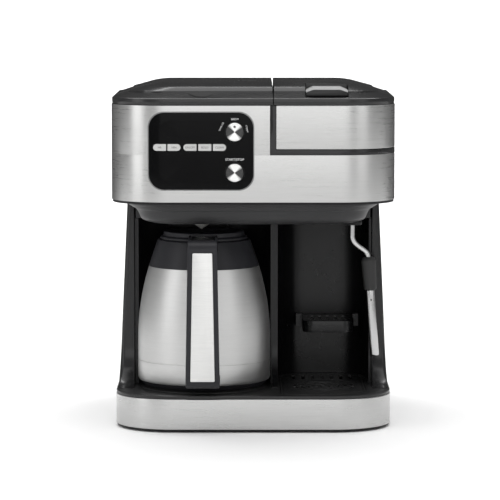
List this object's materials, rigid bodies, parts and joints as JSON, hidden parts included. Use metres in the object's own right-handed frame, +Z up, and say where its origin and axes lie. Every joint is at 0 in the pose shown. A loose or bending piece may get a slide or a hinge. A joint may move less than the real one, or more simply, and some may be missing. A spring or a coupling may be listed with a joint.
{
  "type": "drip coffee maker",
  "caption": "Countertop coffee maker with a thermal carafe under one half of the head, a single-cup side with a lifting pod head, a steam wand, a drip tray and a rear water tank.",
  "frame": {"origin": "on the floor under the middle of the whole machine, carafe handle included", "axes": "+Z up, the front with the controls faces -Y, +X to the right seen from the front"},
  "size_m": [0.318, 0.344, 0.388],
  "materials": {
    "brushed_band": "horizontally brushed, satin",
    "carafe_steel": "turned and brushed, satin",
    "insert_steel": "fine brushed, bright",
    "black_shell": "black moulded, semi-gloss",
    "bay_black": "black moulded, satin",
    "charcoal": "dark grey moulded, satin",
    "panel_black": "high gloss",
    "key_silver": "silver painted, satin",
    "knob_metal": "turned face",
    "wand_steel": "polished",
    "grip_rubber": "soft satin",
    "tank_smoke": "smoked, clear",
    "inner_plastic": "moulded, matt",
    "valve_white": "moulded, satin",
    "latch_silver": "silver painted",
    "press_grey": "moulded, matt",
    "heater_alloy": "cast",
    "board_green": "lacquered board",
    "hose_clear": "milky silicone",
    "pin_steel": "plated"
  },
  "bodies": {
    "housing": {"base_pan": "inner_plastic", "base_band": "brushed_band", "base_deck": "black_shell", "feet": "grip_rubber", "screws": "pin_steel", "rest_plate": "bay_black", "left_cheek": "black_shell", "right_cheek": "black_shell", "bay_liner": "bay_black", "rear_frame": "inner_plastic", "rear_cover": "inner_plastic", "cord_gland": "grip_rubber", "water_pump": "valve_white", "brew_heater": "heater_alloy", "steam_boiler": "heater_alloy", "power_board": "board_green", "hoses": "hose_clear", "head_chassis": "inner_plastic", "head_band": "brushed_band", "pod_deck": "black_shell", "brew_floor": "charcoal", "top_deck": "black_shell", "control_panel": "panel_black", "control_board": "board_green", "filter_basket": "inner_plastic", "pod_holder": "inner_plastic", "pod_nozzle": "inner_plastic", "hinge_pins": "pin_steel", "wand_socket": "inner_plastic"},
    "valve": {"drip_valve": "valve_white"},
    "brew_cover": {"brew_lid": "black_shell", "spray_head": "inner_plastic"},
    "pod_head": {"pod_cap": "black_shell", "pod_panel": "brushed_band", "pod_press": "press_grey"},
    "latch": {"pod_latch": "latch_silver"},
    "wand": {"wand_tube": "wand_steel", "wand_grip": "grip_rubber"},
    "sleeve": {"frother_sleeve": "wand_steel"},
    "reservoir": {"tank": "tank_smoke", "tank_valve": "inner_plastic"},
    "reservoir_lid": {"tank_lid": "inner_plastic"},
    "dial": {"mode_dial": "knob_metal"},
    "start": {"start_button": "knob_metal"},
    "key_hour": {"hour_key": "key_silver"},
    "key_minute": {"minute_key": "key_silver"},
    "key_power": {"power_key": "key_silver"},
    "key_bold": {"bold_key": "key_silver"},
    "key_clean": {"clean_key": "key_silver"},
    "shelf": {"cup_shelf": "bay_black"},
    "tray": {"drip_tray": "bay_black"},
    "grid": {"drip_grid": "bay_black"},
    "carafe": {"carafe_shell": "carafe_steel", "carafe_base": "charcoal", "carafe_liner": "carafe_steel", "carafe_collar": "charcoal", "carafe_handle": "charcoal", "handle_insert": "insert_steel"},
    "carafe_cap": {"carafe_lid": "charcoal"},
    "lever": {"lid_lever": "charcoal"}
  },
  "joints": [
    {"name": "carafe_slide", "type": "slide", "parent": "housing", "child": "carafe", "axis": [0, -1, 0], "range_m": [0, 0.2]},
    {"name": "carafe_lid_turn", "type": "hinge", "parent": "carafe", "child": "carafe_cap", "pos_m": [-0.056, -0.05, 0.21], "axis": [0, 0, 1], "range_deg": [0, 60]},
    {"name": "lid_lever_press", "type": "hinge", "parent": "carafe", "child": "lever", "pos_m": [-0.056, -0.118, 0.212], "axis": [1, 0, 0], "range_deg": [0, 8], "stiffness_Nm_per_rad": 0.03, "springref_deg": -11.46},
    {"name": "drip_valve_lift", "type": "slide", "parent": "housing", "child": "valve", "axis": [0, 0, 1], "range_m": [0, 0.003], "stiffness_N_per_m": 200, "springref_m": -0.002},
    {"name": "brew_lid_hinge", "type": "hinge", "parent": "housing", "child": "brew_cover", "pos_m": [-0.0565, 0.066, 0.378], "axis": [-1, 0, 0], "range_deg": [0, 100]},
    {"name": "pod_head_hinge", "type": "hinge", "parent": "housing", "child": "pod_head", "pos_m": [0.092, 0.066, 0.372], "axis": [-1, 0, 0], "range_deg": [0, 60]},
    {"name": "pod_latch_lift", "type": "hinge", "parent": "pod_head", "child": "latch", "pos_m": [0.0815, -0.105, 0.378], "axis": [-1, 0, 0], "range_deg": [0, 25], "stiffness_Nm_per_rad": 0.1, "springref_deg": -11.46},
    {"name": "wand_swivel", "type": "hinge", "parent": "housing", "child": "wand", "pos_m": [0.112, -0.07, 0.233], "axis": [0, 0, 1], "range_deg": [-110, 0]},
    {"name": "sleeve_slide", "type": "slide", "parent": "wand", "child": "sleeve", "axis": [0.068, 0, -0.9977], "range_m": [0, 0.025]},
    {"name": "reservoir_lift", "type": "slide", "parent": "housing", "child": "reservoir", "axis": [0, 0, 1], "range_m": [0, 0.22]},
    {"name": "reservoir_lid_hinge", "type": "hinge", "parent": "reservoir", "child": "reservoir_lid", "pos_m": [0, 0.1655, 0.369], "axis": [-1, 0, 0], "range_deg": [0, 95]},
    {"name": "dial_turn", "type": "hinge", "parent": "housing", "child": "dial", "pos_m": [-0.0205, -0.15, 0.3356], "axis": [0, -1, 0], "range_deg": [-60, 60]},
    {"name": "start_press", "type": "slide", "parent": "housing", "child": "start", "axis": [0, 1, 0], "range_m": [0, 0.0015], "stiffness_N_per_m": 400, "springref_m": -0.0008},
    {"name": "hour_press", "type": "slide", "parent": "housing", "child": "key_hour", "axis": [0, 1, 0], "range_m": [0, 0.0008], "stiffness_N_per_m": 500, "springref_m": -0.0006},
    {"name": "minute_press", "type": "slide", "parent": "housing", "child": "key_minute", "axis": [0, 1, 0], "range_m": [0, 0.0008], "stiffness_N_per_m": 500, "springref_m": -0.0006},
    {"name": "power_press", "type": "slide", "parent": "housing", "child": "key_power", "axis": [0, 1, 0], "range_m": [0, 0.0008], "stiffness_N_per_m": 500, "springref_m": -0.0006},
    {"name": "bold_press", "type": "slide", "parent": "housing", "child": "key_bold", "axis": [0, 1, 0], "range_m": [0, 0.0008], "stiffness_N_per_m": 500, "springref_m": -0.0006},
    {"name": "clean_press", "type": "slide", "parent": "housing", "child": "key_clean", "axis": [0, 1, 0], "range_m": [0, 0.0008], "stiffness_N_per_m": 500, "springref_m": -0.0006},
    {"name": "shelf_fold", "type": "hinge", "parent": "housing", "child": "shelf", "pos_m": [0.0865, 0.041, 0.107], "axis": [-1, 0, 0], "range_deg": [0, 88]},
    {"name": "tray_lift", "type": "slide", "parent": "housing", "child": "tray", "axis": [0, 0, 1], "range_m": [0, 0.03]},
    {"name": "grid_lift", "type": "slide", "parent": "tray", "child": "grid", "axis": [0, 0, 1], "range_m": [0, 0.02]}
  ]
}
